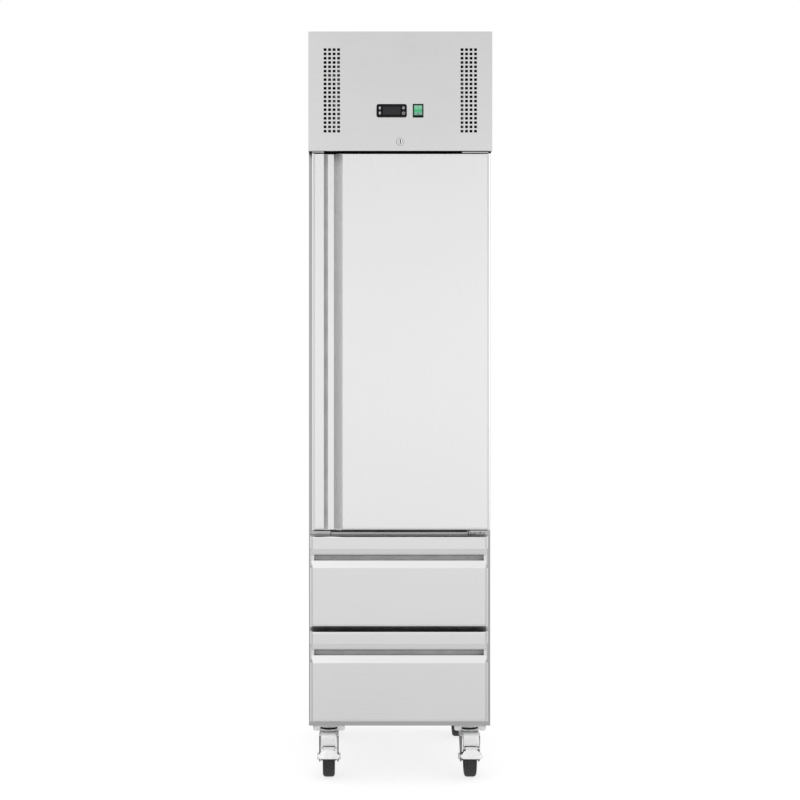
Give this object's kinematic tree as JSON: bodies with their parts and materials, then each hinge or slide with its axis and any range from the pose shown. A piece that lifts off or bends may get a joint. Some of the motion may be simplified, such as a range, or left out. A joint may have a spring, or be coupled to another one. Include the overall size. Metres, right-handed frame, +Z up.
{
  "type": "commercial freezer cabinet",
  "caption": "Slim upright commercial freezer cabinet with a tall door above drawers, a vented header with controls, and swivel castors.",
  "frame": {"origin": "on the floor under the middle of the cabinet's overall box", "axes": "+Z up, the door and drawers face -Y, +X is to the right as seen from the front"},
  "size_m": [0.45, 0.7, 1.84],
  "materials": {
    "stainless": "satin",
    "stainless_liner": "satin",
    "stainless_wire": "polished",
    "zinc_steel": "satin",
    "foam": "matte",
    "grey_plastic": "matte",
    "black_plastic": "satin",
    "key_plastic": "satin",
    "green_switch": "gloss",
    "seal_rubber": "matte",
    "black_paint": "satin",
    "motor_grey": "satin",
    "fin_aluminium": "satin",
    "copper_pipe": "satin",
    "lock_chrome": "polished",
    "bush_nylon": "satin",
    "wheel_rubber": "matte",
    "fan_plastic": "satin"
  },
  "bodies": {
    "cabinet": {"outer_casing": "stainless", "inner_liner": "stainless_liner", "foam_insulation": "foam", "breaker_frame": "grey_plastic", "mullions": "stainless", "header_fascia": "stainless", "machine_cover": "stainless", "panel_screws": "zinc_steel", "power_inlet": "black_plastic", "compressor": "black_paint", "condenser_coil": "fin_aluminium", "evaporator_coil": "fin_aluminium", "evaporator_cover": "stainless_liner", "fan_motors": "motor_grey", "refrigerant_pipes": "copper_pipe", "controller_body": "black_plastic", "switch_bezel": "black_plastic", "lock_housing": "lock_chrome", "hinge_plates": "stainless", "drawer_slide_rails": "zinc_steel", "shelf_pilasters": "stainless_liner", "wire_shelves": "stainless_wire", "castor_plates": "zinc_steel"},
    "door": {"door_outer_skin": "stainless", "door_foam_core": "foam", "door_inner_panel": "stainless_liner", "door_gasket": "seal_rubber", "door_hinge_bushes": "bush_nylon"},
    "upper_drawer": {"upper_drawer_front_skin": "stainless", "upper_drawer_foam_core": "foam", "upper_drawer_inner_panel": "stainless_liner", "upper_drawer_gasket": "seal_rubber", "upper_drawer_box": "stainless_liner", "upper_drawer_runners": "zinc_steel"},
    "upper_drawer_slides": {"upper_drawer_slide_middles": "zinc_steel"},
    "lower_drawer": {"lower_drawer_front_skin": "stainless", "lower_drawer_foam_core": "foam", "lower_drawer_inner_panel": "stainless_liner", "lower_drawer_gasket": "seal_rubber", "lower_drawer_box": "stainless_liner", "lower_drawer_runners": "zinc_steel"},
    "lower_drawer_slides": {"lower_drawer_slide_middles": "zinc_steel"},
    "lock_barrel": {"lock_barrel": "lock_chrome"},
    "rocker": {"rocker": "green_switch"},
    "lower_left_key": {"lower_left_key": "key_plastic"},
    "upper_left_key": {"upper_left_key": "key_plastic"},
    "lower_right_key": {"lower_right_key": "key_plastic"},
    "upper_right_key": {"upper_right_key": "key_plastic"},
    "condenser_fan": {"condenser_fan_blade": "fan_plastic"},
    "evaporator_fan": {"evaporator_fan_blade": "fan_plastic"},
    "front_left_fork": {"front_left_fork": "zinc_steel"},
    "front_left_wheel": {"front_left_wheel": "wheel_rubber"},
    "front_left_pedal": {"front_left_brake_pedal": "zinc_steel"},
    "front_right_fork": {"front_right_fork": "zinc_steel"},
    "front_right_wheel": {"front_right_wheel": "wheel_rubber"},
    "front_right_pedal": {"front_right_brake_pedal": "zinc_steel"},
    "rear_left_fork": {"rear_left_fork": "zinc_steel"},
    "rear_left_wheel": {"rear_left_wheel": "wheel_rubber"},
    "rear_right_fork": {"rear_right_fork": "zinc_steel"},
    "rear_right_wheel": {"rear_right_wheel": "wheel_rubber"}
  },
  "joints": [
    {"name": "door_swing", "type": "hinge", "parent": "cabinet", "child": "door", "pos_m": [0.202, -0.33, 1.08], "axis": [0, 0, 1], "range_deg": [0, 110]},
    {"name": "upper_drawer_slide", "type": "slide", "parent": "cabinet", "child": "upper_drawer", "axis": [0, -1, 0], "range_m": [0, 0.45]},
    {"name": "upper_drawer_middle_slide", "type": "slide", "parent": "cabinet", "child": "upper_drawer_slides", "axis": [0, -1, 0], "range_m": [0, 0.225]},
    {"name": "lower_drawer_slide", "type": "slide", "parent": "cabinet", "child": "lower_drawer", "axis": [0, -1, 0], "range_m": [0, 0.45]},
    {"name": "lower_drawer_middle_slide", "type": "slide", "parent": "cabinet", "child": "lower_drawer_slides", "axis": [0, -1, 0], "range_m": [0, 0.225]},
    {"name": "lock_turn", "type": "hinge", "parent": "cabinet", "child": "lock_barrel", "pos_m": [0, -0.34, 1.571], "axis": [0, 1, 0], "range_deg": [0, 90]},
    {"name": "power_switch", "type": "hinge", "parent": "cabinet", "child": "rocker", "pos_m": [0.0436, -0.341, 1.646], "axis": [1, 0, 0], "range_deg": [0, 14]},
    {"name": "lower_left_key_press", "type": "slide", "parent": "cabinet", "child": "lower_left_key", "axis": [0, 1, 0], "range_m": [0, 0.0006], "stiffness_N_per_m": 800},
    {"name": "upper_left_key_press", "type": "slide", "parent": "cabinet", "child": "upper_left_key", "axis": [0, 1, 0], "range_m": [0, 0.0006], "stiffness_N_per_m": 800},
    {"name": "lower_right_key_press", "type": "slide", "parent": "cabinet", "child": "lower_right_key", "axis": [0, 1, 0], "range_m": [0, 0.0006], "stiffness_N_per_m": 800},
    {"name": "upper_right_key_press", "type": "slide", "parent": "cabinet", "child": "upper_right_key", "axis": [0, 1, 0], "range_m": [0, 0.0006], "stiffness_N_per_m": 800},
    {"name": "condenser_fan_spin", "type": "hinge", "parent": "cabinet", "child": "condenser_fan", "pos_m": [0, -0.195, 1.672], "axis": [0, 1, 0], "continuous": true},
    {"name": "evaporator_fan_spin", "type": "hinge", "parent": "cabinet", "child": "evaporator_fan", "pos_m": [0, 0.072, 1.452], "axis": [0, 1, 0], "continuous": true},
    {"name": "front_left_swivel", "type": "hinge", "parent": "cabinet", "child": "front_left_fork", "pos_m": [-0.1755, -0.235, 0.118], "axis": [0, 0, 1], "continuous": true},
    {"name": "front_left_roll", "type": "hinge", "parent": "front_left_fork", "child": "front_left_wheel", "pos_m": [-0.1755, -0.27, 0.05], "axis": [1, 0, 0], "continuous": true},
    {"name": "front_left_brake", "type": "hinge", "parent": "front_left_fork", "child": "front_left_pedal", "pos_m": [-0.1755, -0.325, 0.082], "axis": [1, 0, 0], "range_deg": [0, 12]},
    {"name": "front_right_swivel", "type": "hinge", "parent": "cabinet", "child": "front_right_fork", "pos_m": [0.1755, -0.235, 0.118], "axis": [0, 0, 1], "continuous": true},
    {"name": "front_right_roll", "type": "hinge", "parent": "front_right_fork", "child": "front_right_wheel", "pos_m": [0.1755, -0.27, 0.05], "axis": [1, 0, 0], "continuous": true},
    {"name": "front_right_brake", "type": "hinge", "parent": "front_right_fork", "child": "front_right_pedal", "pos_m": [0.1755, -0.325, 0.082], "axis": [1, 0, 0], "range_deg": [0, 12]},
    {"name": "rear_left_swivel", "type": "hinge", "parent": "cabinet", "child": "rear_left_fork", "pos_m": [-0.1755, 0.235, 0.118], "axis": [0, 0, 1], "continuous": true},
    {"name": "rear_left_roll", "type": "hinge", "parent": "rear_left_fork", "child": "rear_left_wheel", "pos_m": [-0.1755, 0.2, 0.05], "axis": [1, 0, 0], "continuous": true},
    {"name": "rear_right_swivel", "type": "hinge", "parent": "cabinet", "child": "rear_right_fork", "pos_m": [0.1755, 0.235, 0.118], "axis": [0, 0, 1], "continuous": true},
    {"name": "rear_right_roll", "type": "hinge", "parent": "rear_right_fork", "child": "rear_right_wheel", "pos_m": [0.1755, 0.2, 0.05], "axis": [1, 0, 0], "continuous": true}
  ],
  "couplings": [
    {"joint": "upper_drawer_middle_slide", "follows": "upper_drawer_slide", "ratio": 0.5},
    {"joint": "lower_drawer_middle_slide", "follows": "lower_drawer_slide", "ratio": 0.5}
  ]
}
